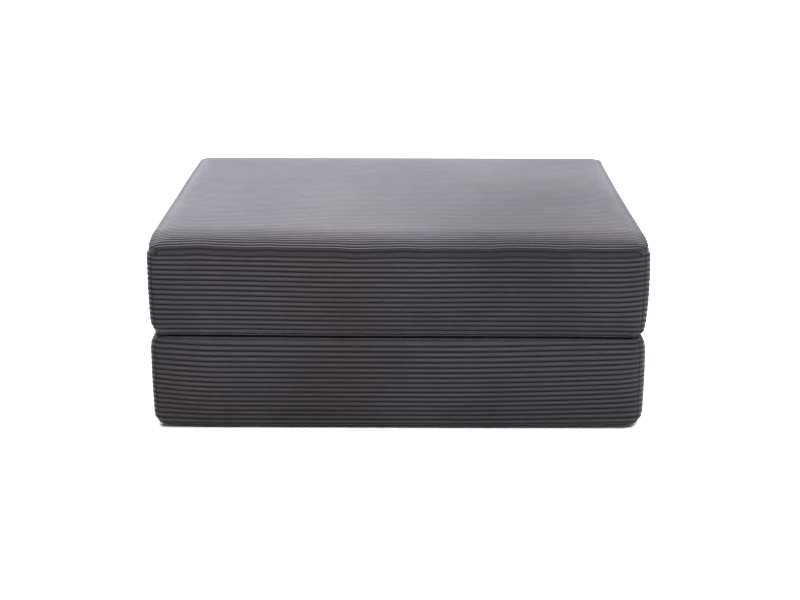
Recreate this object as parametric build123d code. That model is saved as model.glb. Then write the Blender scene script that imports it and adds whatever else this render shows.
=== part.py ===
# A guest bed that folds up into an ottoman. Two cushions lie one on the other, joined by a cloth
# hinge on the left short side. The upper one swings over to the left and lies beside the lower
# one, and the two faces that were shut together are then the bed. Each cushion is a block of foam
# in a cover of wide corduroy, which opens with a zip across the back.
# Millimetres. X runs along the cushions, Y to the back and Z up, from the middle of the base.
import os
from collections import namedtuple
from math import asin, degrees, hypot

from build123d import *

# One cushion
cushion_length = 950
cushion_depth = 760
cushion_thickness = 183
corner_radius = 30
fold_gap = 1

# The corduroy: its backing, and the ribs, called wales, that are woven on it. A wale's crest
# lies between two shares of its width. The walls show the wales; the face panels, where they
# run along X, are left smooth.
cloth = 2
wale_pitch = 10
wale_height = 1.8
crest_shares = (0.26, 0.74)
seam_gap = 0.4
foam_clearance = 0.3
least_rise = 0.3
least_radius = 2

# An edge of the cover, where a face panel is sewn to the walls. Drop is from the face down to
# the seam. The wall turns in to the seam by wall_tuck over wall_shoulder, and the panel by
# panel_tuck over panel_shoulder. The panel rolls over to the face within roll_in, and the face
# rises by crown over the crown_reach that follows.
CoverEdge = namedtuple(
    "CoverEdge", "drop wall_tuck wall_shoulder panel_tuck panel_shoulder roll_in crown")
top_edge = CoverEdge(drop=17, wall_tuck=3, wall_shoulder=9, panel_tuck=2.6, panel_shoulder=5,
                     roll_in=18, crown=4)
base_edge = CoverEdge(drop=7, wall_tuck=14, wall_shoulder=30, panel_tuck=4, panel_shoulder=2.6,
                      roll_in=16, crown=0)
fold_edge = CoverEdge(drop=7, wall_tuck=12, wall_shoulder=26, panel_tuck=4, panel_shoulder=2.6,
                      roll_in=14, crown=0)
edge_steps = 6
shoulder_steps = 4
crown_reach = 240
crown_shares = (0.35, 1)

# The cloth hinge
hinge_cloth = 1
hinge_foot = 1.2
hinge_clearance = 0.3

# The zip across the back of each cover
zip_margin = 35
zip_opening = 13
tape_thickness = 0.8
tape_lap = 8
tape_clearance = 0.1
chain_width = 6
chain_height = 2.4
chain_fillet = 1
zip_clearance = 0.3
stop_length = 3
stop_rise = 0.5
slider_length = 12
slider_plate = 1.2
slider_wall = 1.3
slider_nose = 2.4
bridge_length = 9
bridge_width = 2.2
bridge_height = 3.4
bridge_bar = 1.1
bridge_round = 1
pull_length = 26
pull_width = 7.4
pull_thickness = 1.3
pull_hole_radius = 1.7
pull_hole_margin = 4

up = Vector(0, 0, 1)
groove_reach = corner_radius - wale_height
quarter_turn = 90
half_corner = quarter_turn / 2 - degrees(seam_gap / 2 / corner_radius)
zip_length = cushion_length - 2 * (corner_radius + zip_margin)
fold_height = cushion_thickness + fold_gap / 2


# Outlines are drawn as reach, which is how far out from the axis of a rounded corner, and height.

def wall_shoulders(low, high):
    """The two curves of a wall's grooves that turn in to its seams, the lower one first."""
    foot = low.drop + seam_gap / 2
    head = cushion_thickness - high.drop - seam_gap / 2
    foot_shoulder = EllipticalCenterArc(
        (groove_reach - low.wall_tuck, foot + low.wall_shoulder),
        low.wall_tuck, low.wall_shoulder, -quarter_turn, arc_size=quarter_turn)
    head_shoulder = EllipticalCenterArc(
        (groove_reach - high.wall_tuck, head - high.wall_shoulder),
        high.wall_tuck, high.wall_shoulder, 0, arc_size=quarter_turn)
    return foot_shoulder, head_shoulder


def panel_guide(edge):
    """The line of a panel's edge, from the seam over the roll, with the face at height zero."""
    seam_reach = groove_reach - edge.wall_tuck
    foot = seam_gap / 2 - edge.drop
    widest = foot + edge.panel_shoulder
    shoulder = EllipticalCenterArc(
        (seam_reach, widest), edge.panel_tuck, edge.panel_shoulder,
        -quarter_turn, arc_size=quarter_turn)
    roll = EllipticalCenterArc(
        (seam_reach + edge.panel_tuck - edge.roll_in, widest),
        edge.roll_in, -edge.crown - widest, 0, arc_size=quarter_turn)
    return Wire([shoulder, roll])


def along(guide, share, out):
    """The point at a share of a guide's length, pushed out from it."""
    distance = guide.length * share
    way = guide.tangent_at(distance, PositionMode.LENGTH)
    return guide.position_at(distance, PositionMode.LENGTH) + Vector(way.Y, -way.X) * out


def wall_inside(low, high):
    """The points of a wall's inner face. At the seams the cloth is cut off level."""
    foot, head = wall_shoulders(low, high)
    shares = [i / shoulder_steps for i in range(1, shoulder_steps)]
    return [foot @ 0 - Vector(cloth),
            *[along(foot, share, -cloth) for share in [*shares, 1]],
            *[along(head, share, -cloth) for share in [0, *shares]],
            head @ 1 - Vector(cloth)]


def wall_outline(low, high):
    """A wall's cross-section: three flats for each wale outside, and plain cloth inside."""
    foot, head = wall_shoulders(low, high)
    grooves = Wire([foot, Line(foot @ 1, head @ 0), head])
    count = round(grooves.length / wale_pitch)
    wales = []
    for i in range(count):
        wales.append(along(grooves, i / count, 0))
        wales += [along(grooves, (i + share) / count, wale_height) for share in crest_shares]
    wales.append(grooves @ 1)
    return make_face(Polyline(*wales, *reversed(wall_inside(low, high)), close=True))


def rising(points):
    """Leaves out the points between the ends where cloth inside a tuck would double back."""
    kept, last = [points[0]], points[-1]
    for point in points[1:-1]:
        if kept[-1].Y + least_rise < point.Y < last.Y - least_rise:
            kept.append(point)
    return [*kept, last]


def crown_points(edge, depth):
    """The points of a face's crown, from its rolled edge up to the level middle."""
    rim = groove_reach - edge.wall_tuck + edge.panel_tuck - edge.roll_in
    return [Vector(rim - crown_reach * share, -edge.crown * (1 - share) ** 2 - depth)
            for share in crown_shares if edge.crown]


def panel_outside(edge):
    guide = panel_guide(edge)
    line = [along(guide, i / edge_steps, 0) for i in range(edge_steps + 1)]
    return rising(line) + crown_points(edge, 0)


def panel_inside(edge):
    guide = panel_guide(edge)
    line = [along(guide, i / edge_steps, -cloth) for i in range(1, edge_steps + 1)]
    return rising([guide @ 0 - Vector(cloth), *line]) + crown_points(edge, cloth)


def rounded_block(points):
    """A block with the cushion's rounded corners, whose sides follow points, bottom to top."""
    layers = []
    for point in points:
        inset = corner_radius - point.X
        layers.append(Pos(0, 0, point.Y) * RectangleRounded(
            cushion_length - 2 * inset, cushion_depth - 2 * inset, max(point.X, least_radius)))
    return loft(layers, ruled=True)


def face_panel(edge):
    """One face of the cover, with its rolled edge, the face at height zero."""
    outside, inside = panel_outside(edge), panel_inside(edge)
    opening = Vector(inside[0].X, outside[0].Y - cloth)
    return rounded_block(outside) - rounded_block([opening, *inside[1:]])


def foam_core(low, high):
    """The foam, a little smaller than the inside of its cover."""
    def inside_panel(edge):
        first, *rest = panel_inside(edge)
        return [first - Vector(foam_clearance),
                *[point - Vector(foam_clearance, foam_clearance) for point in rest]]

    foot = [Vector(point.X, -point.Y) for point in reversed(inside_panel(low))]
    head = [point + Vector(0, cushion_thickness) for point in inside_panel(high)]
    side = [point - Vector(foam_clearance) for point in wall_inside(low, high)]
    return rounded_block(foot + side + head)


def wall(outline, outward):
    """A border wall, which runs half way round the corner at either end to its seams."""
    walk = outward.cross(up)
    half_run = Vector(cushion_length / 2 - corner_radius, cushion_depth / 2 - corner_radius)
    start = Vector(half_run.X * (outward - walk).X, half_run.Y * (outward - walk).Y)
    end = Vector(half_run.X * (outward + walk).X, half_run.Y * (outward + walk).Y)
    here = Plane(start, x_dir=outward, z_dir=walk) * outline
    there = Plane(end, x_dir=outward, z_dir=walk) * outline
    return (extrude(here, (end - start).length, dir=walk)
            + revolve(here, Axis(start, up), half_corner)
            + revolve(there, Axis(end, -up), half_corner))


# The zip is drawn lying on its tape, facing up, with its middle at the origin and X along it.

def zip_tapes():
    """The two woven tapes, which meet under the chain."""
    width = zip_opening / 2 + tape_lap - seam_gap / 2
    length = zip_length + 2 * tape_lap
    tape = Pos(0, (seam_gap + width) / 2, -tape_thickness / 2) * Box(
        length, width, tape_thickness)
    return tape + mirror(tape, Plane.XZ)


def zip_chain():
    """The closed row of teeth, as one rounded bar."""
    chain = Pos(0, 0, chain_height / 2) * Box(
        zip_length - 2 * stop_length, chain_width, chain_height)
    ridges = chain.edges().filter_by(Axis.X).group_by(Axis.Z)[-1]
    return fillet(ridges, chain_fillet)


def zip_stops():
    """Two top stops side by side at the closed end, and a bottom stop at the other."""
    height = chain_height + stop_rise
    block = Box(stop_length, chain_width, height)
    block = fillet(block.edges().group_by(Axis.Z)[-1], stop_rise)
    place = (zip_length - stop_length) / 2
    top_stops = Pos(place, 0, height / 2) * block - Pos(place, 0, height / 2) * Box(
        2 * stop_length, seam_gap, 2 * height)
    return top_stops + Pos(-place, 0, height / 2) * block


slider_top = chain_height + zip_clearance + slider_plate
pull_height = slider_top + zip_clearance + pull_thickness / 2


def zip_slider():
    """The slider's front half, a channel over the chain with a bridge for the pull on it."""
    inner_width = chain_width + 2 * zip_clearance
    body_height = slider_top - zip_clearance
    body = Pos(0, 0, zip_clearance + body_height / 2) * Box(
        slider_length, inner_width + 2 * slider_wall, body_height)
    body = fillet(body.edges().filter_by(Axis.Z), slider_nose)
    body -= Pos(0, 0, (chain_height + zip_clearance) / 2) * Box(
        2 * slider_length, inner_width, chain_height + zip_clearance)
    arch = Pos(0, 0, slider_top + bridge_height / 2) * Box(
        bridge_length, bridge_width, bridge_height)
    arch = fillet(arch.edges().filter_by(Axis.Y).group_by(Axis.Z)[-1], bridge_round)
    arch -= Pos(0, 0, slider_top + (bridge_height - bridge_bar) / 2) * Box(
        bridge_length - 2 * bridge_bar, 2 * bridge_width, bridge_height - bridge_bar)
    return body + arch


def zip_pull():
    """The pull, lying back over the chain, with its cross bar through the slider's bridge."""
    window_reach = hypot(bridge_length / 2, bridge_height) + zip_clearance
    window_width = bridge_width + 2 * zip_clearance
    bar_radius = pull_thickness / 2
    tab = Pos((bar_radius - pull_length) / 2, 0, 0) * Box(
        pull_length + bar_radius, pull_width, pull_thickness)
    tab = fillet(tab.edges().filter_by(Axis.Z).group_by(Axis.X)[0], pull_width / 2 - bar_radius)
    tab -= Pos(-window_reach / 2, 0, 0) * Box(window_reach, window_width, 2 * pull_thickness)
    tab -= Pos(bar_radius / 2, 0, 0) * Box(bar_radius, window_width, 2 * pull_thickness)
    tab -= Pos(bar_radius, 0, 0) * Box(2 * bar_radius, 2 * pull_width, 2 * pull_thickness)
    tab -= Pos(pull_hole_margin - pull_length, 0, 0) * Cylinder(
        pull_hole_radius, 2 * pull_thickness)
    bar = Rot(quarter_turn, 0, 0) * Cylinder(bar_radius, pull_width)
    return Pos(0, 0, pull_height) * (tab + bar)


tape_front = cushion_depth / 2 - wale_height - cloth + tape_thickness
slider_rest = (zip_length - slider_length) / 2 - stop_length - zip_clearance
slider_travel = 2 * slider_rest


def wall_middle(low, high):
    return (low.drop + cushion_thickness - high.drop) / 2


def rear_strips(outline, middle):
    """The back wall in two strips, with the zip's opening and a seat for its tapes behind."""
    inner_face = cushion_depth / 2 - wale_height - cloth
    seat_depth = tape_thickness + tape_clearance
    seat = Pos(0, inner_face, middle) * Box(
        zip_length + 2 * (tape_lap + tape_clearance), 2 * seat_depth,
        zip_opening + 2 * (tape_lap + tape_clearance))
    opening = Pos(0, cushion_depth / 2, middle) * Box(zip_length, cushion_depth / 2, zip_opening)
    seam = Pos(0, cushion_depth / 2, middle) * Box(
        2 * cushion_length, cushion_depth, seam_gap)
    strips = (wall(outline, Vector(0, 1)) - seat - opening - seam).solids().sort_by(Axis.Z)
    return strips[0], strips[-1]


def cushion(name, low, high):
    """The pieces of one cushion, lying with its outer face down at height zero."""
    outline = wall_outline(low, high)
    middle = wall_middle(low, high)
    outer_strip, fold_strip = rear_strips(outline, middle)
    return {
        f"{name}_foam_core": foam_core(low, high),
        f"{name}_outer_panel": mirror(face_panel(low), Plane.XY),
        f"{name}_sleeping_panel": Pos(0, 0, cushion_thickness) * face_panel(high),
        f"{name}_front_border": wall(outline, Vector(0, -1)),
        f"{name}_left_border": wall(outline, Vector(-1, 0)),
        f"{name}_right_border": wall(outline, Vector(1, 0)),
        f"{name}_rear_border_outer_strip": outer_strip,
        f"{name}_rear_border_fold_strip": fold_strip,
    }


def zip_pieces(name, height):
    """A zip in its place across the back, shut, with its slider at the right."""
    lie = Plane((0, tape_front, height), x_dir=(1, 0, 0), z_dir=(0, 1, 0))
    return {
        f"{name}_zip_tapes": lie * zip_tapes(),
        f"{name}_zip_chain": lie * zip_chain(),
        f"{name}_zip_stops": lie * zip_stops(),
        f"{name}_zip_slider": lie * Pos(slider_rest, 0, 0) * zip_slider(),
        f"{name}_zip_pull": lie * Pos(slider_rest, 0, 0) * zip_pull(),
    }


def hinge_strip():
    """The hinge cloth, sewn in at both left fold seams and tucked between the shut faces."""
    edge = fold_edge
    widest = seam_gap / 2 - edge.drop + edge.panel_shoulder
    middle_reach = groove_reach - edge.wall_tuck + edge.panel_tuck - edge.roll_in
    near = (edge.roll_in + hinge_clearance, hinge_clearance - widest)
    far = (near[0] + hinge_cloth, near[1] + hinge_cloth)
    tuck = degrees(asin((fold_gap / 2 - widest) / far[1]))
    leaf_near = EllipticalCenterArc((middle_reach, widest), *near, 0, arc_size=tuck)
    leaf_far = EllipticalCenterArc((middle_reach, widest), *far, 0, arc_size=tuck)
    drop = Vector(0, -hinge_foot)
    foot = Polyline(leaf_near @ 0, leaf_near @ 0 + drop, leaf_far @ 0 + drop, leaf_far @ 0)
    fold = Line(leaf_near @ 1, Vector((leaf_near @ 1).X, fold_gap / 2))
    lip = Line(fold @ 1, leaf_far @ 1)
    leaf = make_face([leaf_near, foot, leaf_far, lip, fold])
    strip = leaf + mirror(leaf, Plane((0, fold_gap / 2, 0), z_dir=(0, 1, 0)))
    length = cushion_depth - 2 * corner_radius
    place = Plane((corner_radius - cushion_length / 2, -length / 2, cushion_thickness),
                  x_dir=(-1, 0, 0), z_dir=(0, 1, 0))
    return extrude(place * strip, length, dir=(0, 1, 0))


lower = cushion("lower", base_edge, fold_edge)
upper = {name: mirror(solid, Plane((0, 0, fold_height)))
         for name, solid in cushion("upper", top_edge, fold_edge).items()}
pieces = {
    **lower,
    **zip_pieces("lower", wall_middle(base_edge, fold_edge)),
    **upper,
    **zip_pieces("upper", 2 * fold_height - wall_middle(top_edge, fold_edge)),
    "hinge_strip": hinge_strip(),
}

os.makedirs("parts", exist_ok=True)
for name, piece in pieces.items():
    export_step(piece, f"parts/{name}.step")
print(f"hinge axis at x {-cushion_length / 2 - hinge_clearance:.2f}, z {fold_height:.2f}")
print(f"slider travel {slider_travel:.2f}, pull axis at x {slider_rest:.2f}, "
      f"y {tape_front + pull_height:.2f}")
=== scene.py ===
from collections import namedtuple

import bmesh
import bpy
import numpy as np
from mathutils import Euler, Matrix, Vector
from mathutils.kdtree import KDTree


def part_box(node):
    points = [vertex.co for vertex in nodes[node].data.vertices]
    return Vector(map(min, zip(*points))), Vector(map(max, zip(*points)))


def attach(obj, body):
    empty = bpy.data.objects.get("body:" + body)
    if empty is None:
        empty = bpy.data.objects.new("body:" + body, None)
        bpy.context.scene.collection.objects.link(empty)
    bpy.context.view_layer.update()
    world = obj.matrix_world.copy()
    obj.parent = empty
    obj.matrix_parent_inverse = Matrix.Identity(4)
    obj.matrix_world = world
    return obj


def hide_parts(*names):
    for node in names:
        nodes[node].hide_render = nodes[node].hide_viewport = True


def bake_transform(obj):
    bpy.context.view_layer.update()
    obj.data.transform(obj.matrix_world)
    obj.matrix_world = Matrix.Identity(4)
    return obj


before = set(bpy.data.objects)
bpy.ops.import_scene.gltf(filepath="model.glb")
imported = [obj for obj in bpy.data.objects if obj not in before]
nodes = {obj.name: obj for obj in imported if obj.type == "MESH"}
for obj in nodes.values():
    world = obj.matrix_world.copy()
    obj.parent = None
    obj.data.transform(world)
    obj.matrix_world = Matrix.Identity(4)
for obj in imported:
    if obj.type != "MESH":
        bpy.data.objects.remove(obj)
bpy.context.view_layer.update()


# The studio. A pale floor in a white room, with a large soft lamp high behind the bed's left end,
# a weaker one above its front, two beside its ends and one for the floor far behind it. The
# camera stands in front of the long side and looks down on it.

scene = bpy.context.scene
scene.view_settings.view_transform = "Standard"
scene.world = bpy.data.worlds.new("white_room")
scene.world.use_nodes = True
room = scene.world.node_tree.nodes["Background"]
room.inputs["Color"].default_value = (1, 1, 1, 1)
room.inputs["Strength"].default_value = 0.36


def soft_lamp(name, place, look_at, width, height, watts):
    lamp = bpy.data.lights.new(name, "AREA")
    lamp.shape, lamp.size, lamp.size_y, lamp.energy = "RECTANGLE", width, height, watts
    holder = bpy.data.objects.new(name, lamp)
    holder.location = place
    holder.rotation_euler = (Vector(look_at) - Vector(place)).to_track_quat("-Z", "Y").to_euler()
    scene.collection.objects.link(holder)


soft_lamp("lamp_behind", place=(-0.8, 1.5, 2.5), look_at=(0, 0, 0.3),
          width=3.2, height=2.0, watts=424)
soft_lamp("lamp_in_front", place=(1.1, -1.7, 2.7), look_at=(0, -0.2, 0.2),
          width=3.0, height=1.6, watts=230)
for name, side in (("lamp_at_left_end", -1), ("lamp_at_right_end", 1)):
    soft_lamp(name, place=(2.4 * side, 0.7, 0.09), look_at=(0.45 * side, 0, 0.19),
              width=1.2, height=0.16, watts=10)
soft_lamp("lamp_on_backdrop", place=(0, 7.0, 4.2), look_at=(0, 6.0, 0),
          width=10, height=4, watts=650)

camera = bpy.data.objects.new("camera", bpy.data.cameras.new("camera"))
camera.data.lens = 63.2
camera.location = (0.0122, -2.8812, 1.1152)
looking_down, turned_left, rolled = np.radians(18.75), np.radians(0.17), np.radians(0.14)
camera.rotation_euler = (Euler((np.radians(90) - looking_down, 0, turned_left)).to_matrix()
                         @ Matrix.Rotation(rolled, 3, "Z")).to_euler()
scene.collection.objects.link(camera)
scene.camera = camera

floor_half, floor_level = 20, -0.0004
floor_mesh = bpy.data.meshes.new("floor")
floor_mesh.from_pydata([(x * floor_half, y * floor_half, floor_level)
                        for x, y in ((-1, -1), (1, -1), (1, 1), (-1, 1))], [], [(0, 1, 2, 3)])
floor = bpy.data.objects.new("floor", floor_mesh)
scene.collection.objects.link(floor)
pale = bpy.data.materials.new("pale_floor")
pale.use_nodes = True
pale.node_tree.nodes["Principled BSDF"].inputs["Base Color"].default_value = (0.75, 0.75, 0.75, 1)
pale.node_tree.nodes["Principled BSDF"].inputs["Roughness"].default_value = 0.9
floor_mesh.materials.append(pale)


# The cushions. Each is a block of cream foam, held in a cover that softens its edges and bulges a
# little where the foam presses it. A line drawn from reach, the distance out from a corner's
# axis, and height is carried round the block's rounded plan.

length, depth, thickness = 0.95, 0.76, 0.183
corner = 0.030
fold = 0.1835
cloth, wale_height, groove_depth = 0.002, 0.0029, 0.0018
seam_gap = 0.0004
half_long, half_short = length / 2 - corner, depth / 2 - corner
groove_reach = corner - groove_depth

Edge = namedtuple("Edge", "drop wall_tuck wall_shoulder panel_tuck panel_shoulder roll_in crown")
top_edge = Edge(0.017, 0.0014, 0.006, 0.0014, 0.0100, 0.012, 0.0048)
base_edge = Edge(0.007, 0.008, 0.016, 0.004, 0.0026, 0.016, 0)
fold_edge = Edge(0.007, 0.012, 0.026, 0.004, 0.0026, 0.014, 0)
crown_reach = 0.24
wall_give, top_give, free_end_share = 0.005, 0.002, 1.1
foam_inset, foam_mesh_size = cloth + 0.0035, 0.016


def smooth(low, high, value):
    """Nought below low, one above high, and an easy slope between."""
    share = np.clip((value - low) / (high - low), 0, 1)
    return share * share * (3 - 2 * share)


def quarter_round(centre, across, upward, start):
    angle = np.radians(np.linspace(start, start + 90, 33))
    return np.stack([centre[0] + across * np.cos(angle), centre[1] + upward * np.sin(angle)], 1)


def wall_line(low, high):
    """A wall's line from its lower seam to its upper one, along the bottom of the grooves."""
    foot, head = low.drop + seam_gap / 2, thickness - high.drop - seam_gap / 2
    return np.concatenate([
        quarter_round((groove_reach - low.wall_tuck, foot + low.wall_shoulder),
                      low.wall_tuck, low.wall_shoulder, -90),
        quarter_round((groove_reach - high.wall_tuck, head - high.wall_shoulder),
                      high.wall_tuck, high.wall_shoulder, 0)])


def panel_line(edge):
    """A face's line from its seam over the roll to where the crown starts, the face at nought."""
    seam_reach = groove_reach - edge.wall_tuck
    widest = seam_gap / 2 - edge.drop + edge.panel_shoulder
    return np.concatenate([
        quarter_round((seam_reach, widest), edge.panel_tuck, edge.panel_shoulder, -90),
        quarter_round((seam_reach + edge.panel_tuck - edge.roll_in, widest),
                      edge.roll_in, -edge.crown - widest, 0)[1:]])


def measured(line):
    """How far along the line each of its points is."""
    return np.concatenate([[0], np.cumsum(np.hypot(*np.diff(line, axis=0).T))])


def foam_rings(low, high, inset):
    """The closed shape inside a cover as rings of points, from the bottom up."""
    foot, head = panel_line(low)[::-6] * (1, -1), panel_line(high)[::6] + (0, thickness)
    line = np.concatenate([foot, wall_line(low, high)[::3], head])
    line = line[np.concatenate([[True], np.diff(line[:, 1]) > 1e-4])] - (inset, 0)
    middle = thickness / 2
    line[:, 1] = middle + (line[:, 1] - middle) * (1 - 2 * inset / thickness)
    rings = []
    for reach, height in line:
        ring = []
        for k, (sx, sy) in enumerate([(1, 1), (-1, 1), (-1, -1), (1, -1)]):
            for angle in np.radians(90 * k + np.linspace(0, 90, 8)):
                ring.append((sx * half_long + reach * np.cos(angle),
                             sy * half_short + reach * np.sin(angle), height))
        rings.append(ring)
    return np.array(rings)


def evaluated(body):
    """The object as its modifiers leave it."""
    return body.evaluated_get(bpy.context.evaluated_depsgraph_get())


def swell(body, shape, held, frames=20):
    """Blows the closed shape up like a filled bag, held at its seams, and gives its moves."""
    group = body.vertex_groups.new(name="held")
    for i, weight in enumerate(held):
        group.add([i], float(weight), "REPLACE")
    air = body.modifiers.new("air", "CLOTH")
    air.settings.quality = 4
    air.settings.mass = 0.3
    air.settings.tension_stiffness = air.settings.compression_stiffness = 15
    air.settings.shear_stiffness = 5
    air.settings.bending_stiffness = 0.5
    air.settings.use_pressure = True
    air.settings.uniform_pressure_force = 4
    air.settings.vertex_group_mass = "held"
    air.settings.effector_weights.gravity = 0
    air.point_cache.frame_start, air.point_cache.frame_end = 1, frames
    for number in range(1, frames + 1):
        scene.frame_set(number)
    swollen = evaluated(body).data
    co = np.empty(len(swollen.vertices) * 3)
    swollen.vertices.foreach_get("co", co)
    moves = co.reshape(-1, 3) - shape
    body.modifiers.remove(air)
    body.vertex_groups.clear()
    scene.frame_set(1)
    return moves


def fold_lift(x, y):
    """How much higher than level the fold lies. It is highest at the front of the hinge."""
    rear_of_hinge, rise_to_front, free_front = 0.0005, 0.0044, 0.0034
    hinge_side = (rear_of_hinge + rise_to_front * (depth / 2 - y) / depth) * smooth(-0.10, -0.36, x)
    free_side = smooth(-0.36, -0.10, x) * (1 - 0.5 * smooth(0.30, 0.47, x))
    return hinge_side + free_front * (1 - smooth(-0.36, -0.20, y)) * free_side


def leaning(place, cushion):
    """How the two soft cushions sag and settle on each other, as moves of their points."""
    seam_draw, hinge_fullness, free_fullness, hinge_corner_fullness = 0.2, -0.0007, 0.0035, 0.0028
    x, y, z = place[..., 0], place[..., 1], place[..., 2]
    end = length / 2
    up = np.clip((z - (0 if cushion == "lower" else 2 * fold - thickness)) / thickness, 0, 1)
    front = 1 - smooth(-0.30, 0.10, y)
    move = np.zeros(place.shape)
    out_x, out_y = np.maximum(np.abs(x) - half_long, 0), np.maximum(np.abs(y) - half_short, 0)
    reach, angle = np.hypot(out_x, out_y), np.arctan2(out_y, out_x)
    drawn = angle + seam_draw * np.sin(2 * angle) * (out_x * out_y > 0)
    full = np.sin(np.pi * up)
    fuller = np.where(x < 0, hinge_fullness, free_fullness) * smooth(0.41, end, np.abs(x)) * full
    plump = reach + (np.where(x < 0, hinge_corner_fullness, 0) * smooth(0.012, corner, reach)
                     * np.sin(2 * angle) * full)
    move[..., 0] = fuller + np.sign(x) * (plump * np.cos(drawn) - reach * np.cos(angle))
    move[..., 1] = np.sign(y) * (plump * np.sin(drawn) - reach * np.sin(angle))
    if cushion == "lower":
        left_climb, right_climb, corner_raise, foot_spread = 0.0056, 0.010, 0.003, 0.002
        move[..., 2] = fold_lift(x, y) * smooth(0.5, 1, up)
        climb = (left_climb * smooth(0.34, end, -x)
                 + right_climb * np.clip((x - 0.08) / 0.38, 0, 1) ** 1.7)
        climbing = (0.45 + 0.55 * smooth(0, 0.3, up)) * (1 - smooth(0.93, 1, up))
        move[..., 2] += climb * front * climbing
        foot_corner = smooth(0.43, end, np.abs(x)) * front * (1 - smooth(0.02, 0.12, up))
        move[..., 2] += corner_raise * foot_corner
        move[..., 0] += foot_spread * smooth(0.40, end, x) * (1 - smooth(0.2, 0.8, up))
    else:
        tilt_rise, rear_rise, lip_rise, front_sag, shoulder_sag = 0.0045, 0.004, 0.0070, 0.0025, 0.0012
        tilt = tilt_rise * smooth(0.08, 0.40, -x) * front
        rear = smooth(-0.375, -0.30, y)
        lip = smooth(2 * fold - 0.0165, 2 * fold - 0.0075, z)
        near_end = smooth(0.39, 0.47, np.abs(x))
        edge = rear_rise * rear + (lip_rise * lip * (1 - 0.25 * near_end) - front_sag
                                   - shoulder_sag * smooth(0.83, 0.905, up)) * (1 - rear)
        inward = np.maximum(np.minimum(end - np.abs(x), depth / 2 - np.abs(y)) - 0.012, 0)
        at_edge = 0.75 * np.exp(-inward / 0.042) + 0.25 * np.exp(-inward / 0.010)
        middle_rise = 0.005
        level = middle_rise + top_edge.crown * np.maximum(1 - inward / crown_reach, 0) ** 2
        raised = np.where(z > 2 * fold - 0.019, level + (edge - level) * at_edge, edge)
        move[..., 2] = fold_lift(x, y) * (1 - smooth(0, 0.5, up))
        move[..., 2] += tilt * smooth(0, 0.5, up) + raised * smooth(0.55, 0.92, up)
        right_rise, right_corner_rise = 0.0016, 0.0022
        move[..., 2] += (right_rise * smooth(0.03, 0.2, x) + right_corner_rise * smooth(0.41, end, x)
                         ) * front * smooth(0.1, 0.35, up)
        wander = sum(high * np.sin(x * rate + shift)
                     for high, rate, shift in ((0.0007, 30, 0.6), (0.0005, 53, 2.1), (0.0003, 97, 0)))
        move[..., 2] += wander * (1 - rear) * smooth(0.80, 0.93, up)
        wall_pull, rear_pull, lip_pull, bottom_bulge, top_bulge = 0.0018, 0.004, 0.0035, 0.003, 0.0015
        pulled = wall_pull + rear_pull * smooth(0.15, 0.37, y) * smooth(0.8, 1, up)
        move[..., 0] += pulled * smooth(0.38, end, -x)
        move[..., 0] -= np.sign(x) * lip_pull * lip * near_end * (1 - rear)
        bulge = bottom_bulge * np.exp(-((z - fold - 0.013) / 0.008) ** 2)
        move[..., 0] += smooth(0.40, end, x) * (bulge + top_bulge * smooth(0.8, 1, up))
    return move


def foam_block(name, low, high, cushion):
    """One foam core and how far its cover gives, at the foam's points."""
    rings = foam_rings(low, high, foam_inset)
    count = rings.shape[1]
    walls = [(r * count + i, r * count + (i + 1) % count,
              (r + 1) * count + (i + 1) % count, (r + 1) * count + i)
             for r in range(len(rings) - 1) for i in range(count)]
    caps = [tuple(range(count))[::-1], tuple(range((len(rings) - 1) * count, len(rings) * count))]
    mesh = bpy.data.meshes.new(name)
    mesh.from_pydata(rings.reshape(-1, 3).tolist(), [], walls + caps)
    body = bpy.data.objects.new(name, mesh)
    scene.collection.objects.link(body)
    remesh = body.modifiers.new("even_mesh", "REMESH")
    remesh.mode, remesh.voxel_size = "VOXEL", foam_mesh_size
    even = bpy.data.meshes.new_from_object(evaluated(body))
    body.modifiers.remove(remesh)
    body.data = even
    shape = np.empty(len(even.vertices) * 3)
    even.vertices.foreach_get("co", shape)
    shape = shape.reshape(-1, 3)
    x, y, z = np.abs(shape[:, 0]), np.abs(shape[:, 1]), shape[:, 2]
    inward = np.minimum(length / 2 - x, depth / 2 - y)
    low_seam, high_seam = low.drop, thickness - high.drop
    seam_hold = 0.012
    at_seam = 1 - np.minimum(np.abs(z - low_seam), np.abs(z - high_seam)) / seam_hold
    face = np.where(z > thickness / 2, z > high_seam, z < low_seam) & (inward > seam_hold)
    lying = face & ((z > thickness / 2) | (low.crown == 0))
    held = np.clip(np.where(lying, 1, np.where(face, 0, at_seam)), 0, 1)
    moves = swell(body, shape, held)
    flat = np.hypot(moves[:, 0], moves[:, 1])
    kept = wall_give * np.tanh(flat / (1.3 * wall_give)) / np.maximum(flat, 1e-9)
    at_zip = 1 - smooth(0.30, 0.36, shape[:, 1])
    moves[:, 0] *= kept * at_zip * np.where(shape[:, 0] < 0, 0, free_end_share)
    moves[:, 1] *= kept * at_zip
    moves[:, 2] = np.where(face & ~lying,
                           -top_give * np.tanh(np.maximum(-moves[:, 2], 0) / (3 * top_give)), 0)
    final = shape + moves
    if cushion == "upper":
        final[:, 2], shape[:, 2] = 2 * fold - final[:, 2], 2 * fold - shape[:, 2]
        moves[:, 2] *= -1
        even.flip_normals()
    even.vertices.foreach_set("co", (final + leaning(shape, cushion)).ravel())
    finer = body.modifiers.new("softened", "SUBSURF")
    finer.levels = finer.render_levels = 1
    body.data = bpy.data.meshes.new_from_object(evaluated(body))
    body.modifiers.remove(finer)
    body.data.shade_smooth()
    near = KDTree(len(shape))
    for i, point in enumerate(shape):
        near.insert(point, i)
    near.balance()
    return body, near, moves


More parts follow.
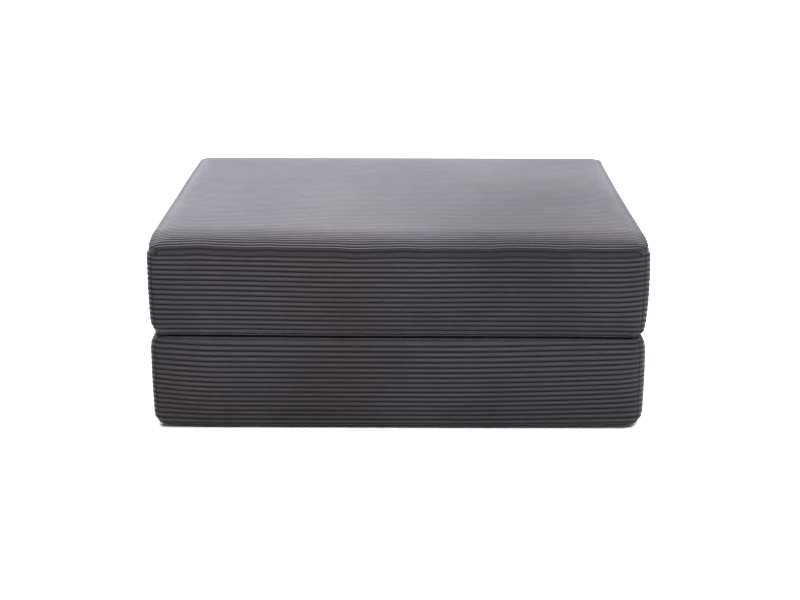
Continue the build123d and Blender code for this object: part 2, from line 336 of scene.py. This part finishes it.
lower_foam, lower_near, lower_moves = foam_block("lower_foam", base_edge, fold_edge, "lower")
upper_foam, upper_near, upper_moves = foam_block("upper_foam", top_edge, fold_edge, "upper")


def settled(place, cushion):
    """Cloth points moved as the filled cover and its own weight move them."""
    near, moves = (lower_near, lower_moves) if cushion == "lower" else (upper_near, upper_moves)
    rows, columns = place.shape[:2]
    i = np.unique(np.linspace(0, rows - 1, max(rows // 5, 6)).round().astype(int))
    j = np.unique(np.linspace(0, columns - 1, max(columns // 2, 6)).round().astype(int))
    few = np.zeros((len(i), len(j), 3))
    for m, row in enumerate(i):
        for n, column in enumerate(j):
            found = near.find_n(place[row, column], 5)
            weights = np.array([1 / (d + 0.006) for _, _, d in found])
            few[m, n] = weights @ moves[[k for _, k, _ in found]] / weights.sum()
    across = np.stack([[np.interp(np.arange(columns), j, few[m, :, c]) for m in range(len(i))]
                       for c in range(3)], -1)
    full = np.stack([[np.interp(np.arange(rows), i, across[:, n, c]) for n in range(columns)]
                     for c in range(3)], -1).transpose(1, 0, 2)
    return place + full + leaning(place, cushion)


# The corduroy. Charcoal cotton cord with a wale to the centimetre: a dense upright pile on a
# thin backing. The pile is silvery at a grazing angle and lies a little differently from patch
# to patch. The grooves between the wales show the dark backing, and they are darkened further
# with painted shade, as are the lower half of each border wale, the seams and the faces' front
# edges.

class Signal:
    """What comes out of one node of a finish. A sum written with it adds its Math nodes."""

    def __init__(self, finish, socket):
        self.finish, self.socket = finish, socket

    def math(self, operation, first, second):
        return self.finish.node("ShaderNodeMath", {"operation": operation}, {0: first, 1: second})

    def __add__(self, other):
        return self.math("ADD", self, other)

    def __mul__(self, other):
        return self.math("MULTIPLY", self, other)

    __radd__, __rmul__ = __add__, __mul__


class Finish:
    """A material built up node by node, ending in one Principled shader."""

    def __init__(self, name, **shader):
        self.material = bpy.data.materials.new(name)
        self.material.use_nodes = True
        self.tree = self.material.node_tree
        self.shader = self.tree.nodes["Principled BSDF"]
        for socket, value in shader.items():
            self.shader.inputs[socket.replace("_", " ")].default_value = value

    def node(self, kind, settings, inputs, output=0):
        made = self.tree.nodes.new(kind)
        for name, value in settings.items():
            setattr(made, name, value)
        for socket, value in inputs.items():
            if isinstance(value, Signal):
                self.tree.links.new(value.socket, made.inputs[socket])
            else:
                made.inputs[socket].default_value = value
        return Signal(self, made.outputs[output])

    def feed(self, socket, signal):
        self.tree.links.new(signal.socket, self.shader.inputs[socket])

    def ramped(self, signal, low, high, start, end):
        return self.node("ShaderNodeMapRange", {"interpolation_type": "SMOOTHSTEP"},
                         {"Value": signal, "From Min": low, "From Max": high,
                          "To Min": start, "To Max": end})

    def tinted(self, share, first, second, kind="MIX"):
        return self.node("ShaderNodeMix", {"data_type": "RGBA", "blend_type": kind},
                         {0: share, 6: first, 7: second}, 2)


cord_charcoal = (0.0335, 0.0305, 0.0345, 1)
cord_brown = (0.0370, 0.0300, 0.0330, 1)
cord_blue = (0.0310, 0.0320, 0.0375, 1)

corduroy = Finish("corduroy", Roughness=0.95, Sheen_Weight=1.0, Sheen_Roughness=0.28,
                  Sheen_Tint=(0.82, 0.86, 1.0, 1), Specular_IOR_Level=0.15)
cut = corduroy.node("ShaderNodeUVMap", {"uv_map": "cut"}, {})
# The pile value is each point's height on its wale, lowered further for painted shade in the grooves,
# on the lower half of each border wale, along the seams and near the faces' front edges.
pile = corduroy.node("ShaderNodeAttribute", {"attribute_name": "pile"}, {}, 2)
place_on_bed = corduroy.node("ShaderNodeTexCoord", {}, {}, 3)


def along_cloth(stretch):
    return corduroy.node("ShaderNodeVectorMath", {"operation": "MULTIPLY"}, {0: cut, 1: stretch})


patches = corduroy.node("ShaderNodeTexNoise", {}, {
    "Vector": place_on_bed, "Scale": 4.5, "Detail": 3, "Roughness": 0.5})
# The pile, sheen and all, is dimmer round a point above the top's front right, up to 0.42 m from it.
distance_to_dim_spot = corduroy.node("ShaderNodeVectorMath", {"operation": "DISTANCE"},
                        {0: place_on_bed, 1: (0.30, -0.16, 0.367)}, 1)
tints = corduroy.node("ShaderNodeTexNoise", {}, {
    "Vector": place_on_bed, "Scale": 3.1, "Detail": 2, "Distortion": 0.4})
streaks = corduroy.node("ShaderNodeTexNoise", {}, {
    "Vector": along_cloth((24, 130, 1)), "Scale": 1, "Detail": 3, "Roughness": 0.65})
fuzz = corduroy.node("ShaderNodeTexNoise", {}, {
    "Vector": along_cloth((2300, 1300, 1)), "Scale": 1, "Detail": 2, "Roughness": 0.7})
hue = corduroy.tinted(corduroy.ramped(tints, 0.38, 0.62, 0, 1), cord_brown, cord_blue)
hue = corduroy.tinted(0.5, hue, cord_charcoal)
# Painted shade: the colour darkens down into the grooves, following the pile value.
tone_and_groove_shade = (corduroy.ramped(patches, 0.3, 0.7, 0.85, 1.13)
        * corduroy.ramped(fuzz, 0.2, 0.8, 0.8, 1.2)
        * corduroy.ramped(pile, 0.05, 0.95, 0.3, 1))
corduroy.feed("Base Color", corduroy.node(
    "ShaderNodeVectorMath", {"operation": "SCALE"}, {0: hue, "Scale": tone_and_groove_shade}))
corduroy.feed("Roughness", corduroy.ramped(streaks, 0.2, 0.8, 0.88, 1))
corduroy.feed("Normal", corduroy.node("ShaderNodeBump", {}, {
    "Strength": 0.35, "Distance": 0.0006, "Height": fuzz * 0.7 + streaks * 0.3}))
# A dark shader without sheen: the bare backing in the grooves, used also as painted shade.
backing_and_groove_shade = corduroy.node("ShaderNodeBsdfPrincipled", {}, {
    "Base Color": (0.010, 0.009, 0.011, 1), "Roughness": 0.95, "Specular IOR Level": 0.1})
# Where the pile value is low, the dark shader is mixed in, sheen and all: the bare backing, and
# painted shade in the grooves and wherever the pile value was lowered for shade.
cover = (corduroy.ramped(pile, 0.25, 0.8, 0.1, 1)
         * corduroy.ramped(distance_to_dim_spot, 0.06, 0.42, 0.72, 1)
         * corduroy.ramped(streaks, 0.34, 0.66, 0.78, 1.02))
corduroy.tree.links.new(
    corduroy.node("ShaderNodeMixShader", {}, {
        0: cover, 1: backing_and_groove_shade, 2: Signal(corduroy, corduroy.shader.outputs[0])}).socket,
    corduroy.tree.nodes["Material Output"].inputs["Surface"])


# The cover of each cushion. Seven pieces of corduroy with the wales running along the bed: two
# faces, three borders, and a rear border in two strips for the zip. They are sewn with their
# edges turned in, which presses the wales flat, and hands have stroked the faces nearly smooth.

wale_shares = np.array([0, 0.05, 0.14, 0.3, 0.5, 0.7, 0.86, 0.95])
turned_in = np.array([0.0006, 0.006])
seam_pile = 0.7


def wale_rows(start, end, phase, wale_pitch=0.010, roundness=2.0):
    """The places of the cloth's rows between two edges, how high on its wale each is, and where."""
    first = int(np.floor((start - phase) / wale_pitch))
    last = int(np.ceil((end - phase) / wale_pitch))
    rows = (np.arange(first, last)[:, None] + wale_shares).ravel() * wale_pitch + phase
    rows = np.concatenate([[start], rows[(rows > start + 2e-4) & (rows < end - 2e-4)], [end]])
    share = np.mod((rows - phase) / wale_pitch + 1e-9, 1)
    rise = np.clip(1 - np.abs(2 * share - 1) ** roundness, 0, 1) ** 0.75
    return rows, rise, share


def cloth_piece(name, grids):
    """Sews grids of points, each with its flat places and its pile, into one piece of cloth."""
    points, flats, piles, faces, first = [], [], [], [], 0
    for place, flat, rise in grids:
        rows, columns = place.shape[:2]
        i = np.arange(rows * columns).reshape(rows, columns) + first
        faces.append(np.stack([i[:-1, :-1], i[:-1, 1:], i[1:, 1:], i[1:, :-1]], -1).reshape(-1, 4))
        points.append(place.reshape(-1, 3))
        flats.append(flat.reshape(-1, 2))
        piles.append(rise.ravel())
        first += rows * columns
    mesh = bpy.data.meshes.new(name)
    mesh.from_pydata(np.concatenate(points).tolist(), [], np.concatenate(faces).tolist())
    corner_point = np.empty(len(mesh.loops), int)
    mesh.loops.foreach_get("vertex_index", corner_point)
    mesh.uv_layers.new(name="cut").data.foreach_set(
        "uv", np.concatenate(flats)[corner_point].ravel())
    # The pile value carries painted shade as well as each point's height on its wale.
    mesh.attributes.new("pile", "FLOAT", "POINT").data.foreach_set("value", np.concatenate(piles))
    work = bmesh.new()
    work.from_mesh(mesh)
    bmesh.ops.remove_doubles(work, verts=work.verts, dist=1e-6)
    bmesh.ops.dissolve_degenerate(work, edges=work.edges, dist=1e-7)
    work.to_mesh(mesh)
    work.free()
    mesh.shade_smooth()
    mesh.materials.append(corduroy.material)
    piece = bpy.data.objects.new(name, mesh)
    scene.collection.objects.link(piece)
    return piece


def turned_over(grid):
    place, flat, rise = grid
    return place[::-1], flat[::-1], rise[::-1]


def joined(line, extra, at_start):
    return np.concatenate([extra, line] if at_start else [line, extra])


def face_grid(edge):
    """A face of the cover, lying with its face at height nought, its rolled edges down."""
    line = panel_line(edge)[::-1]
    rim = line[0, 0]
    out = rim + measured(line)
    seam = out[-1]
    out = np.concatenate([out, seam + turned_in])
    line = np.concatenate([line, line[-1:] - np.stack([turned_in, (0, 0)], 1)])

    def at(s, t):
        a, b = np.maximum(np.abs(s) - half_long, 0), np.maximum(np.abs(t) - half_short, 0)
        away = np.hypot(a, b)
        shrink = np.where(away > rim, np.interp(away, out, line[:, 0]) / np.maximum(away, 1e-9), 1)
        gx = np.clip(1 - (half_long + rim - np.abs(s)) / crown_reach, 0, 1) ** 2
        gy = np.clip(1 - (half_short + rim - np.abs(t)) / crown_reach, 0, 1) ** 2
        z = np.where(away > rim, np.interp(away, out, line[:, 1]),
                     -edge.crown * (1 - (1 - gx) * (1 - gy)))
        return np.stack([np.sign(s) * (np.minimum(np.abs(s), half_long) + a * shrink),
                         np.sign(t) * (np.minimum(np.abs(t), half_short) + b * shrink), z], -1)

    first_wale, worn_roundness, new_roundness = 0.012, 2.7, 1.6
    front_seam = -half_short - seam
    edges = front_seam, half_short + seam, front_seam + first_wale
    rows, rise, _ = wale_rows(*edges, roundness=worn_roundness)
    unworn = 1 - smooth(0.030, 0.075, rows - front_seam)
    rise = rise + (wale_rows(*edges, roundness=new_roundness)[1] - rise) * unworn
    rows = np.concatenate([rows[:1] - turned_in[::-1], rows, rows[-1:] + turned_in])
    rise = np.concatenate([[0, 0], rise, [0, 0]])
    b = np.maximum(np.abs(rows) - half_short, 0)[:, None]
    to_seam = np.sqrt(np.maximum(seam ** 2 - b ** 2, 0))
    to_end = np.sqrt(np.maximum((seam + turned_in[1]) ** 2 - b ** 2, 0))
    side = half_long + np.concatenate([to_seam * np.linspace(0, 1, 19)[1:] ** 0.85,
                                       np.minimum(to_seam + turned_in[0], to_end), to_end], 1)
    columns = 97
    middle = np.broadcast_to(np.linspace(-half_long, half_long, columns), (len(rows), columns))
    s = np.concatenate([-side[:, ::-1], middle, side], 1)
    t = np.broadcast_to(rows[:, None], s.shape)
    step = 0.0004
    normal = np.cross(at(s + step, t) - at(s - step, t), at(s, t + step) - at(s, t - step))
    normal /= np.maximum(np.linalg.norm(normal, axis=-1, keepdims=True), 1e-12)
    away = np.hypot(np.maximum(np.abs(s) - half_long, 0), np.maximum(np.abs(t) - half_short, 0))
    pressed = smooth(0.004, 0.014, seam - away)
    level = rise[:, None] * pressed + seam_pile * (1 - pressed)
    from_front, from_rear = seam + half_short + t, seam + half_short - t
    if edge.crown:
        # A crease 7 mm from the front seam: sunk into the cloth, and darker through the pile value,
        # painted shade in the crease.
        crease, crease_width = 0.0070, 0.0009
        level = level * (1 - 0.75 * np.exp(-((from_front - crease) / crease_width) ** 2))
    if edge is not base_edge:
        brushed = 0.78 * smooth(0.055, 0.13, from_front) * smooth(0.015, 0.035, from_rear)
        level = 1 - (1 - level) * (1 - brushed)
    sunk = np.where(away > seam, -0.3, level - 1) * wale_height
    # Painted shade: from about 11 to 60 mm behind the front seam the grooves are darker still, and the
    # pile value fades to nought along the seams.
    front_groove_shade = smooth(0.0105, 0.0125, from_front) * (1 - smooth(0.030, 0.060, from_front))
    pile = np.maximum(level, 0) ** (1 + 2 * front_groove_shade * pressed) * smooth(-0.001, 0.0025, seam - away)
    # Painted shade: the lip that rolls over the top's front edge is a little darker.
    if edge.crown:
        pile = pile * (0.88 + 0.12 * smooth(0.0105, 0.0125, from_front))
    return at(s, t) + normal * sunk[..., None], np.stack([s, t], -1), pile


def wall_grid(low, high, outward, start=None, end=None, near=None, far=None, hem=None):
    """A border, or the part of one between two heights or two distances along it."""
    line = wall_line(low, high)
    along = measured(line)
    first = along[0] if start is None else np.interp(start, line[:, 1], along)
    last = along[-1] if end is None else np.interp(end, line[:, 1], along)
    last_groove, wall_pitch = along[-1] - 0.014, 0.010 if low.crown else 0.00975
    rows, rise, share = wale_rows(first, last, last_groove, wall_pitch)
    flat_t = rows
    reach, height = np.interp(rows, along, line[:, 0]), np.interp(rows, along, line[:, 1])
    way = np.gradient(line, axis=0)
    way /= np.linalg.norm(way, axis=1, keepdims=True)
    out_r, out_z = np.interp(rows, along, way[:, 1]), np.interp(rows, along, -way[:, 0])
    pressed = smooth(0.0005, 0.004, rows) * smooth(0.004, 0.013, along[-1] - rows)
    rise = rise * pressed + seam_pile * (1 - pressed)
    outside = wale_height * (rise - 1) + groove_depth
    # Painted shade: the lower half of each wale is darker, as if lit from above, away from the seams.
    lit_upper_half = smooth(0.38, 0.62, 1 - share if low.crown else share)
    rise = rise * (1 - 0.38 * pressed * (1 - lit_upper_half))
    # Painted shade: the pile value fades to nought along the upper and lower seams, so they show as
    # dark lines.
    rise = rise * smooth(-0.001, 0.0025, np.minimum(rows, along[-1] - rows))
    reach, height = reach + out_r * outside, height + out_z * outside
    for k, cut_at in ((0, start), (-1, end)):
        if cut_at is None:
            reach = joined(reach, reach[k] - (turned_in if k else turned_in[::-1]), k == 0)
            height = joined(height, np.full(2, height[k]), k == 0)
            rise = joined(rise, np.zeros(2), k == 0)
            flat_t = joined(flat_t, np.full(2, flat_t[k]), k == 0)
    outward = np.array(outward)
    walk = np.array([-outward[1], outward[0]])
    half_run, half_out = (half_long, half_short) if outward[0] == 0 else (half_short, half_long)
    quarter = corner * np.pi / 4 - seam_gap / 2
    arc = np.concatenate([np.linspace(0, quarter - 0.006, 9)[1:], quarter - np.array(
        [0.0048, 0.0036, 0.0025, 0.0016, 0.0008, 0])])
    straight = np.linspace(-half_run, half_run, int(2 * half_run / 0.0068))
    s = np.concatenate([-half_run - arc[::-1], straight, half_run + arc])
    if near is not None:
        s = np.concatenate([[near], s[(s > near + 1e-4) & (s < far - 1e-4)], [far]])
    turn = np.maximum(np.abs(s) - half_run, 0) / corner
    seam_away = half_run + quarter - np.abs(s)
    seam_dip, dip_width = 0.0009, 0.0018
    dip = seam_dip * np.exp(-np.maximum(seam_away, 0) ** 2 / dip_width ** 2)
    ends = [k for k, at in ((0, s[0]), (-1, s[-1])) if abs(abs(at) - half_run - quarter) < 1e-6]
    grid_reach = reach[:, None] - dip[None, :]
    run, angle = np.clip(s, -half_run, half_run), np.sign(s) * turn
    for k in ends:
        inward = grid_reach[:, k, None] - (turned_in if k else turned_in[::-1])
        grid_reach = joined(grid_reach.T, inward.T, k == 0).T
        run = joined(run, np.full(2, run[k]), k == 0)
        angle = joined(angle, np.full(2, angle[k]), k == 0)
        s = joined(s, np.full(2, s[k]), k == 0)
    out_by = half_out + grid_reach * np.cos(angle)
    run_by = run + grid_reach * np.sin(angle)
    place = np.stack([outward[0] * out_by + walk[0] * run_by,
                      outward[1] * out_by + walk[1] * run_by,
                      np.broadcast_to(height[:, None], out_by.shape)], -1)
    if hem is not None:
        folded_in = np.array([0.0003, 0.0009, 0.0012])
        k = -1 if hem == "top" else 0
        hem_rows = place[k] - np.array([*outward, 0.0]) * folded_in[:, None, None]
        place = joined(place, hem_rows if k else hem_rows[::-1], k == 0)
        rise = joined(rise, np.zeros(3), k == 0)
        flat_t = joined(flat_t, np.full(3, flat_t[k]), k == 0)
    flat = np.stack(np.broadcast_arrays(s[None, :], flat_t[:, None]), -1)
    # Painted shade: the pile value fades to nought at the corner seams, so they show as dark lines.
    piles = rise[:, None] * smooth(-0.001, 0.002, half_run + quarter - np.abs(s))
    return place, flat, piles


def sew_cover(cushion, low, high):
    """All seven pieces of one cover, each in the place of its own part of the frame."""
    upper = cushion == "upper"

    def placed(grid):
        place, flat, rise = grid
        if upper:
            place = place * (1, 1, -1) + (0, 0, 2 * fold)
            place, flat, rise = turned_over((place, flat, rise))
        return settled(place, cushion), flat, rise

    def sewn(name, grids):
        piece = cloth_piece(f"{cushion}_{name}_cloth", [placed(grid) for grid in grids])
        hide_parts(f"{cushion}_{name}")
        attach(piece, f"{cushion}_cushion")
        return piece

    outer = face_grid(low)
    outer = turned_over((outer[0] * (1, 1, -1), outer[1], outer[2]))
    inner = face_grid(high)
    inner = (inner[0] + (0, 0, thickness), inner[1], inner[2])
    sewn("outer_panel", [outer])
    sewn("sleeping_panel", [inner])
    sewn("front_border", [wall_grid(low, high, (0, -1))])
    sewn("right_border", [wall_grid(low, high, (1, 0))])
    sewn("left_border", [wall_grid(low, high, (-1, 0))])
    middle = (low.drop + thickness - high.drop) / 2
    opening, zip_half = 0.0065, 0.410
    end_of_wall = half_long + corner * np.pi / 4 - seam_gap / 2
    gap = seam_gap / 2
    sewn("rear_border_outer_strip", [
        wall_grid(low, high, (0, 1), end=middle - opening, hem="top"),
        wall_grid(low, high, (0, 1), middle - opening, middle - gap, -end_of_wall, -zip_half),
        wall_grid(low, high, (0, 1), middle - opening, middle - gap, zip_half, end_of_wall)])
    sewn("rear_border_fold_strip", [
        wall_grid(low, high, (0, 1), start=middle + opening, hem="foot"),
        wall_grid(low, high, (0, 1), middle + gap, middle + opening, -end_of_wall, -zip_half),
        wall_grid(low, high, (0, 1), middle + gap, middle + opening, zip_half, end_of_wall)])


sew_cover("lower", base_edge, fold_edge)
sew_cover("upper", top_edge, fold_edge)


# The foam's own finish. Cream open-cell foam, as it is cut from the block: fine pores all over,
# a few larger ones, and a slightly yellower tone here and there.

foam_finish = Finish("cut_foam", Roughness=0.9, Specular_IOR_Level=0.2, Sheen_Weight=0.1)
foam_place = foam_finish.node("ShaderNodeTexCoord", {}, {}, 3)
pores = foam_finish.node("ShaderNodeTexVoronoi", {}, {"Vector": foam_place, "Scale": 620})
large_pores = foam_finish.node("ShaderNodeTexVoronoi", {}, {"Vector": foam_place, "Scale": 90})
yellowed = foam_finish.node("ShaderNodeTexNoise", {}, {
    "Vector": foam_place, "Scale": 5, "Detail": 3})
foam_finish.feed("Base Color", foam_finish.tinted(
    foam_finish.ramped(pores, 0.1, 0.5, 0, 1) * foam_finish.ramped(yellowed, 0.3, 0.7, 0.7, 1),
    (0.62, 0.55, 0.36, 1), (0.86, 0.82, 0.70, 1)))
foam_finish.feed("Normal", foam_finish.node("ShaderNodeBump", {}, {
    "Strength": 0.5, "Distance": 0.001,
    "Height": pores + foam_finish.ramped(large_pores, 0, 0.2, 0, 1)}))
for foam, cushion in ((lower_foam, "lower"), (upper_foam, "upper")):
    foam.data.materials.clear()
    foam.data.materials.append(foam_finish.material)
    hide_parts(f"{cushion}_foam_core")
    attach(foam, f"{cushion}_cushion")


# The cloth hinge. One band of the same cord, sewn into the left fold seam of both covers and
# tucked between the shut faces.

hinge_widest = seam_gap / 2 - fold_edge.drop + fold_edge.panel_shoulder
hinge_middle = groove_reach - fold_edge.wall_tuck + fold_edge.panel_tuck - fold_edge.roll_in
off_face, turned_down = 0.0008, 0.0012
hinge_out, hinge_up = fold_edge.roll_in + off_face, off_face - hinge_widest
tuck_angle = np.arcsin((0.0005 - hinge_widest) / hinge_up * 0.98)
angles = np.linspace(0, tuck_angle, 12)
leaf = np.stack([hinge_middle + hinge_out * np.cos(angles),
                 thickness + hinge_widest + hinge_up * np.sin(angles)], 1)
leaf = np.concatenate([leaf[:1] - (0, turned_down), leaf])
band = np.concatenate([leaf, leaf[::-1] * (1, -1) + (0, 2 * fold)])
band_along = measured(band)
across_y = np.linspace(-half_short, half_short, 120)
hinge_place = np.stack(np.broadcast_arrays(
    -half_long - band[:, 0, None], across_y[None, :], band[:, 1, None]), -1)
hinge_place[..., 2] += fold_lift(hinge_place[..., 0], hinge_place[..., 1])
hinge_flat = np.stack(np.broadcast_arrays(across_y[None, :], band_along[:, None]), -1)
# The band's pile value is kept low, painted shade on the band in the gap between the cushions.
hinge = cloth_piece("hinge_band", [turned_over(
    (hinge_place, hinge_flat, np.full(hinge_flat.shape[:2], 0.5)))])
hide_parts("hinge_strip")
band_half, band_x, hinge_axis_x = 0.006, -0.47, -0.4753
along_fold = float(fold_lift(band_x, depth / 2) - fold_lift(band_x, -depth / 2)) / depth
middle_of_band = Vector((hinge_axis_x, 0, fold + float(fold_lift(band_x, 0.0))))
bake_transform(hinge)


# The zips. Across the back of each cover: two woven tapes, a nylon coil that is sewn to them,
# metal stops, and a slider with a swinging pull. They are shut in the ottoman.

tape_finish = Finish("zip_tape", Roughness=0.9, Specular_IOR_Level=0.12)
tape_place = tape_finish.node("ShaderNodeTexCoord", {}, {}, 3)
weave = tape_finish.node("ShaderNodeTexWave", {"wave_type": "BANDS", "bands_direction": "DIAGONAL"},
                         {"Vector": tape_place, "Scale": 320, "Distortion": 0.4})
tape_finish.feed("Base Color", tape_finish.tinted(
    weave, (0.010, 0.0098, 0.011, 1), (0.026, 0.025, 0.028, 1)))
tape_finish.feed("Normal", tape_finish.node("ShaderNodeBump", {}, {
    "Strength": 0.4, "Distance": 0.0003, "Height": weave}))

metal_finish = Finish("gunmetal", Metallic=1.0, Roughness=0.35)
metal_place = metal_finish.node("ShaderNodeTexCoord", {}, {}, 3)
wear = metal_finish.node("ShaderNodeTexNoise", {}, {
    "Vector": metal_place, "Scale": 260, "Detail": 4})
metal_finish.feed("Base Color", metal_finish.tinted(
    metal_finish.ramped(wear, 0.35, 0.7, 0, 1), (0.07, 0.07, 0.075, 1), (0.16, 0.16, 0.165, 1)))
metal_finish.feed("Roughness", metal_finish.ramped(wear, 0.3, 0.7, 0.38, 0.55))

coil_finish = Finish("nylon_coil", Roughness=0.45, Specular_IOR_Level=0.5)
coil_place = coil_finish.node("ShaderNodeTexCoord", {}, {}, 3)
scuff = coil_finish.node("ShaderNodeTexNoise", {}, {
    "Vector": coil_place, "Scale": 900, "Detail": 2})
coil_finish.feed("Base Color", coil_finish.tinted(
    scuff, (0.022, 0.022, 0.026, 1), (0.06, 0.06, 0.066, 1)))

thread_finish = Finish("sewing_thread", Roughness=0.6, Sheen_Weight=0.2)
thread_place = thread_finish.node("ShaderNodeTexCoord", {}, {}, 3)
twist = thread_finish.node("ShaderNodeTexWave", {"bands_direction": "DIAGONAL"},
                           {"Vector": thread_place, "Scale": 700})
thread_finish.feed("Base Color", thread_finish.tinted(
    twist, (0.018, 0.017, 0.020, 1), (0.050, 0.047, 0.053, 1)))


def loop_row(name, finish):
    """A tree that repeats one small loop of wire or thread along a line."""
    tree = bpy.data.node_groups.new(name, "GeometryNodeTree")
    tree.interface.new_socket("Geometry", in_out="OUTPUT", socket_type="NodeSocketGeometry")
    for label, kind in (("Count", "NodeSocketInt"), ("Start", "NodeSocketVector"),
                        ("Step", "NodeSocketVector"), ("Loop size", "NodeSocketVector"),
                        ("Wire radius", "NodeSocketFloat"), ("Turn", "NodeSocketVector")):
        tree.interface.new_socket(label, in_out="INPUT", socket_type=kind)

    def node(kind, settings, inputs):
        made = tree.nodes.new(kind)
        for key, value in settings.items():
            setattr(made, key, value)
        for socket, value in inputs.items():
            if isinstance(value, bpy.types.NodeSocket):
                tree.links.new(value, made.inputs[socket])
            else:
                made.inputs[socket].default_value = value
        return made

    given = tree.nodes.new("NodeGroupInput").outputs
    row = node("GeometryNodeMeshLine", {"mode": "OFFSET"}, {
        "Count": given["Count"], "Start Location": given["Start"], "Offset": given["Step"]})
    ring = node("GeometryNodeCurvePrimitiveCircle", {}, {"Resolution": 8, "Radius": 1.0})
    sized = node("GeometryNodeTransform", {}, {
        "Geometry": ring.outputs[0], "Scale": given["Loop size"]})
    wire = node("GeometryNodeCurvePrimitiveCircle", {}, {
        "Resolution": 4, "Radius": given["Wire radius"]})
    loop = node("GeometryNodeCurveToMesh", {}, {
        "Curve": sized.outputs[0], "Profile Curve": wire.outputs[0]})
    many = node("GeometryNodeInstanceOnPoints", {}, {
        "Points": row.outputs[0], "Instance": loop.outputs[0], "Rotation": given["Turn"]})
    real = node("GeometryNodeRealizeInstances", {}, {"Geometry": many.outputs[0]})
    smooth_mesh = node("GeometryNodeSetShadeSmooth", {}, {"Geometry": real.outputs[0]})
    coated = node("GeometryNodeSetMaterial", {}, {
        "Geometry": smooth_mesh.outputs[0], "Material": finish.material})
    tree.links.new(coated.outputs[0], tree.nodes.new("NodeGroupOutput").inputs[0])
    return tree


def rows_of_loops(name, tree, rows):
    """One plain mesh of several rows, each made by the tree with its own sizes."""
    together = bmesh.new()
    for values in rows:
        carrier = bpy.data.objects.new("carrier", bpy.data.meshes.new("carrier"))
        scene.collection.objects.link(carrier)
        maker = carrier.modifiers.new("loops", "NODES")
        maker.node_group = tree
        for item in tree.interface.items_tree:
            if item.in_out == "INPUT":
                maker[item.identifier] = values[item.name]
        together.from_mesh(bpy.data.meshes.new_from_object(evaluated(carrier)))
        bpy.data.objects.remove(carrier)
    mesh = bpy.data.meshes.new(name)
    bmesh.ops.recalc_face_normals(together, faces=together.faces)
    together.to_mesh(mesh)
    together.free()
    mesh.shade_smooth()
    piece = bpy.data.objects.new(name, mesh)
    scene.collection.objects.link(piece)
    return piece


coil_tree, stitch_tree = loop_row("coil_loops", coil_finish), loop_row("thread_loops", thread_finish)
quarter_turn = np.pi / 2
pitch, coil_flatness, coil_wire = 0.0015, 0.00092, 0.00036
stitch_count, stitch_step, stitch_size, thread_radius = 204, 0.004, (0.0015, 0.0004, 0), 0.00028
first_stitch, stitched_y, off_centre = -0.408, 0.3799, 0.0098
for cushion in ("lower", "upper"):
    low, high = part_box(f"{cushion}_zip_chain")
    centre, wide, front = (low.z + high.z) / 2, (high.z - low.z) / 2, (low.y + high.y) / 2
    count = int((high.x - low.x) / pitch) - 1
    coil = rows_of_loops(f"{cushion}_zip_coil", coil_tree, [
        {"Count": count, "Start": (low.x + pitch * shift, front, centre + side * wide * 0.42),
         "Step": (pitch, 0, 0), "Loop size": (wide * 0.56, coil_flatness, 0), "Wire radius": coil_wire,
         "Turn": (0, quarter_turn, side * 0.1)}
        for side, shift in ((-1, 0.5), (1, 1.0))])
    coil.data.materials.append(coil_finish.material)
    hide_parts(f"{cushion}_zip_chain")
    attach(coil, f"{cushion}_cushion")
    stitches = rows_of_loops(f"{cushion}_zip_topstitch", stitch_tree, [
        {"Count": stitch_count, "Start": (first_stitch, stitched_y, centre + side * off_centre),
         "Step": (stitch_step, 0, 0), "Loop size": stitch_size, "Wire radius": thread_radius,
         "Turn": (0, 0, 0)}
        for side in (-1, 1)])
    stitches.data.materials.append(thread_finish.material)
    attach(stitches, f"{cushion}_cushion")
    for part, finish in (("zip_tapes", tape_finish), ("zip_stops", metal_finish),
                         ("zip_slider", metal_finish), ("zip_pull", metal_finish)):
        mesh = nodes[f"{cushion}_{part}"].data
        mesh.materials.clear()
        mesh.materials.append(finish.material)
